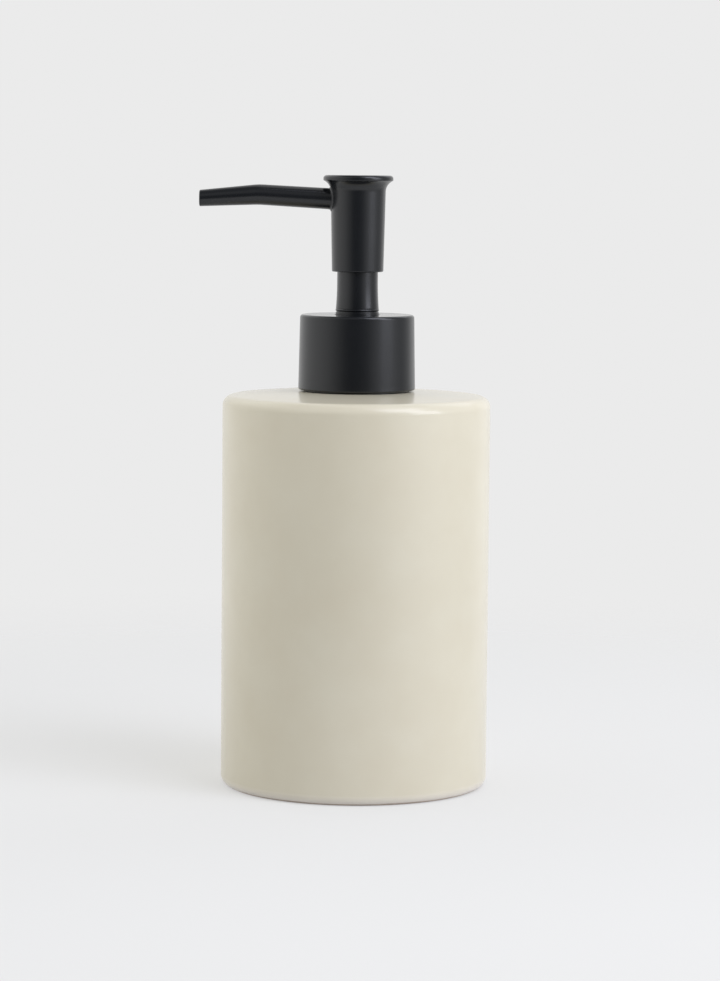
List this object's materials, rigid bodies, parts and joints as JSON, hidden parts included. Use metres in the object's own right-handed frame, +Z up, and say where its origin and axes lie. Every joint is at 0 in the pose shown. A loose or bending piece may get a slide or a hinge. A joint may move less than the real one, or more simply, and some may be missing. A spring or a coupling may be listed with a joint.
{
  "type": "soap pump dispenser",
  "caption": "Round glazed bottle with a flat top, a smooth black screw collar and a lotion pump whose flared head carries a slim bent spout.",
  "frame": {"origin": "on the bottle's axis, in the plane that its foot ring stands on", "axes": "+Z up along the bottle's axis, the spout points along -X at rest, +Y completes the frame"},
  "size_m": [0.0818, 0.075, 0.1711],
  "materials": {
    "glazed_stoneware": "satin",
    "black_insert": "satin",
    "grey_rubber": "matte",
    "foam_gasket": "matte",
    "black_shell": "satin",
    "natural_housing": "satin",
    "natural_moulding": "satin",
    "steel_ball": "polished",
    "clear_tube": "satin",
    "spring_steel": "polished",
    "white_piston": "satin"
  },
  "bodies": {
    "bottle": {"bottle": "glazed_stoneware", "neck_insert": "black_insert", "insert_seal": "grey_rubber"},
    "gasket": {"neck_gasket": "foam_gasket"},
    "pump_frame": {"housing": "natural_housing", "guide": "black_shell", "ball_cage": "natural_moulding", "dip_tube": "clear_tube", "spring": "spring_steel"},
    "collar": {"collar": "black_shell", "threaded_cap": "black_insert"},
    "plunger": {"plunger_core": "natural_moulding"},
    "head": {"stem": "natural_moulding", "pump_head": "black_shell"},
    "piston": {"piston": "white_piston"},
    "inlet_ball": {"inlet_ball": "steel_ball"}
  },
  "joints": [
    {"name": "pump_lift", "type": "slide", "parent": "bottle", "child": "gasket", "axis": [0, 0, 1], "range_m": [0, 0.125]},
    {"name": "pump_rise", "type": "slide", "parent": "gasket", "child": "pump_frame", "axis": [0, 0, 1], "range_m": [0, 0.00635]},
    {"name": "collar_turn", "type": "hinge", "parent": "pump_frame", "child": "collar", "pos_m": [0, 0, 0.12], "axis": [0, 0, 1], "range_deg": [0, 545]},
    {"name": "head_press", "type": "slide", "parent": "pump_frame", "child": "plunger", "axis": [0, 0, -1], "range_m": [0, 0.0115], "stiffness_N_per_m": 850, "springref_m": -0.008, "deforming": ["spring"]},
    {"name": "head_swivel", "type": "hinge", "parent": "plunger", "child": "head", "pos_m": [0, 0, 0.15], "axis": [0, 0, 1], "continuous": true},
    {"name": "piston_float", "type": "slide", "parent": "plunger", "child": "piston", "axis": [0, 0, 1], "range_m": [0, 0.0008]},
    {"name": "ball_lift", "type": "slide", "parent": "pump_frame", "child": "inlet_ball", "axis": [0, 0, 1], "range_m": [0, 0.0012]}
  ],
  "couplings": [
    {"joint": "collar_turn", "follows": "pump_rise", "rad_per_m": 1484.2}
  ]
}
